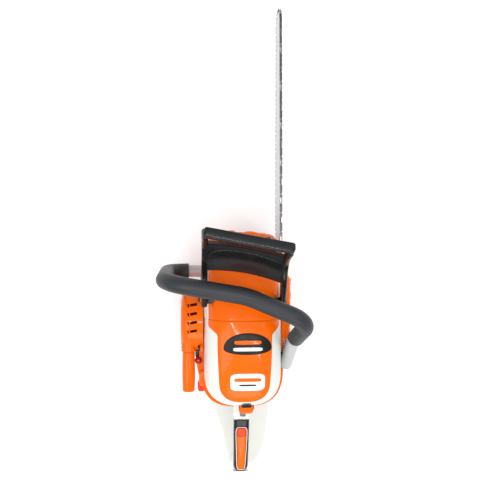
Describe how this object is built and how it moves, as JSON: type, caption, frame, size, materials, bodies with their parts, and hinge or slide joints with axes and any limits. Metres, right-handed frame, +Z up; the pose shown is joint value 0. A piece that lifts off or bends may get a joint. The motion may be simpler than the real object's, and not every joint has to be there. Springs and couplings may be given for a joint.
{
  "type": "chainsaw",
  "caption": "Petrol chainsaw with a straight guide bar and chain, tubular front handle, hinged hand guard, lift-off top cover, recoil starter and rear handle with trigger.",
  "frame": {"origin": "on the ground, in the middle of the flat pan under the engine", "axes": "+Z up, +Y towards the bar's nose, +X to the saw's right, the bar's side"},
  "size_m": [0.2546, 0.8464, 0.2889],
  "materials": {
    "orange_plastic": "glossy moulded orange plastic",
    "white_plastic": "light grey-white moulded plastic",
    "black_plastic": "satin black plastic",
    "grip_rubber": "charcoal rubber sleeve",
    "black_rubber": "black rubber",
    "handle_paint": "light grey painted tube",
    "cast_aluminium": "as-cast aluminium",
    "machined_aluminium": "machined aluminium",
    "bar_steel": "ground light grey steel",
    "chain_steel": "dark oiled steel",
    "cutter_steel": "chromed cutter steel",
    "steel": "bright machined steel",
    "dark_steel": "blackened steel",
    "heat_steel": "heat-stained steel",
    "felt": "off-white filter felt",
    "rope_fibre": "braided cord",
    "ceramic": "glazed ceramic and steel"
  },
  "bodies": {
    "saw": {"crankcase": "cast_aluminium", "cylinder": "cast_aluminium", "piston": "machined_aluminium", "piston_rings": "steel", "piston_pin": "steel", "connecting_rod": "steel", "crankshaft": "steel", "main_bearings": "steel", "ignition_coil": "black_plastic", "ignition_lead": "black_rubber", "spark_plug": "ceramic", "plug_boot": "black_rubber", "intake_boot": "black_rubber", "carburettor": "machined_aluminium", "air_filter": "felt", "muffler": "heat_steel", "starter_housing": "orange_plastic", "recoil_spring": "steel", "clutch_drum": "dark_steel", "clutch_bearing": "steel", "brake_band": "steel", "oil_pump": "black_plastic", "chain_drive_links": "chain_steel", "chain_tie_straps": "chain_steel", "chain_cutters": "cutter_steel", "chain_rivets": "chain_steel", "guide_bar": "bar_steel", "nose_sprocket": "steel", "sprocket_cover": "orange_plastic", "bar_studs": "steel", "bar_nuts": "steel", "chain_tensioner": "steel", "bumper_spikes": "dark_steel", "chain_catcher": "cast_aluminium", "engine_housing": "orange_plastic", "tank_housing": "white_plastic", "handle_insert": "black_plastic", "front_shroud": "orange_plastic", "front_handle_tube": "handle_paint", "front_handle_grip": "grip_rubber", "antivibration_springs": "dark_steel", "fuel_pickup": "black_rubber", "starter_screws": "dark_steel", "handle_bracket": "black_plastic"},
    "top_cover": {"top_cover": "white_plastic", "cover_panel": "orange_plastic"},
    "cover_latch": {"cover_latch": "orange_plastic"},
    "hand_guard": {"hand_guard": "black_plastic"},
    "throttle_trigger": {"throttle_trigger": "black_plastic"},
    "throttle_lock": {"throttle_lock": "orange_plastic"},
    "throttle_rod": {"throttle_rod": "steel"},
    "throttle_butterfly": {"throttle_butterfly": "steel"},
    "choke_knob": {"choke_knob": "black_plastic"},
    "flywheel": {"flywheel": "cast_aluminium"},
    "clutch": {"clutch_hub": "steel"},
    "starter_pulley": {"starter_pulley": "black_plastic"},
    "starter_grip": {"starter_grip": "orange_plastic", "starter_rope": "rope_fibre"},
    "fuel_cap": {"fuel_cap": "black_plastic"},
    "oil_cap": {"oil_cap": "black_plastic"}
  },
  "joints": [
    {"name": "cover_lift", "type": "slide", "parent": "saw", "child": "top_cover", "axis": [0, 0, 1], "range_m": [0, 0.06]},
    {"name": "latch_swing", "type": "hinge", "parent": "top_cover", "child": "cover_latch", "pos_m": [0.0025, -0.1245, 0.136], "axis": [1, 0, 0], "range_deg": [0, 40]},
    {"name": "guard_swing", "type": "hinge", "parent": "saw", "child": "hand_guard", "pos_m": [0, 0.058, 0.176], "axis": [-1, 0, 0], "range_deg": [0, 18]},
    {"name": "trigger_squeeze", "type": "hinge", "parent": "saw", "child": "throttle_trigger", "pos_m": [0, -0.16, 0.093], "axis": [-1, 0, 0], "range_deg": [0, 15], "stiffness_Nm_per_rad": 0.08, "springref_deg": -5.73},
    {"name": "lock_press", "type": "hinge", "parent": "saw", "child": "throttle_lock", "pos_m": [0, -0.178, 0.108], "axis": [1, 0, 0], "range_deg": [0, 4], "stiffness_Nm_per_rad": 0.3, "springref_deg": -5.73},
    {"name": "throttle_rod_slide", "type": "slide", "parent": "saw", "child": "throttle_rod", "axis": [0, -1, 0], "range_m": [0, 0.0125]},
    {"name": "butterfly_turn", "type": "hinge", "parent": "saw", "child": "throttle_butterfly", "pos_m": [0, -0.066, 0.15], "axis": [-1, 0, 0], "range_deg": [0, 62]},
    {"name": "choke_pull", "type": "slide", "parent": "saw", "child": "choke_knob", "axis": [0, -1, 0], "range_m": [0, 0.012]},
    {"name": "flywheel_spin", "type": "hinge", "parent": "saw", "child": "flywheel", "pos_m": [0, 0.014, 0.09], "axis": [1, 0, 0], "continuous": true},
    {"name": "clutch_spin", "type": "hinge", "parent": "saw", "child": "clutch", "pos_m": [0, 0.014, 0.09], "axis": [1, 0, 0], "continuous": true},
    {"name": "starter_pull", "type": "slide", "parent": "saw", "child": "starter_grip", "axis": [0, -1, 0], "range_m": [0, 0.6]},
    {"name": "pulley_turn", "type": "hinge", "parent": "saw", "child": "starter_pulley", "pos_m": [-0.0925, 0.014, 0.09], "axis": [1, 0, 0], "range_deg": [0, 1250]},
    {"name": "fuel_cap_turn", "type": "hinge", "parent": "saw", "child": "fuel_cap", "pos_m": [-0.058, -0.086, 0.044], "axis": [1, 0, 0], "range_deg": [0, 90]},
    {"name": "oil_cap_turn", "type": "hinge", "parent": "saw", "child": "oil_cap", "pos_m": [-0.068, 0.092, 0.022], "axis": [1, 0, 0], "range_deg": [0, 90]}
  ],
  "couplings": [
    {"joint": "throttle_rod_slide", "follows": "trigger_squeeze", "m_per_rad": 0.045},
    {"joint": "butterfly_turn", "follows": "trigger_squeeze", "ratio": 4},
    {"joint": "clutch_spin", "follows": "flywheel_spin", "ratio": 1},
    {"joint": "pulley_turn", "follows": "starter_pull", "rad_per_m": 35.714}
  ]
}
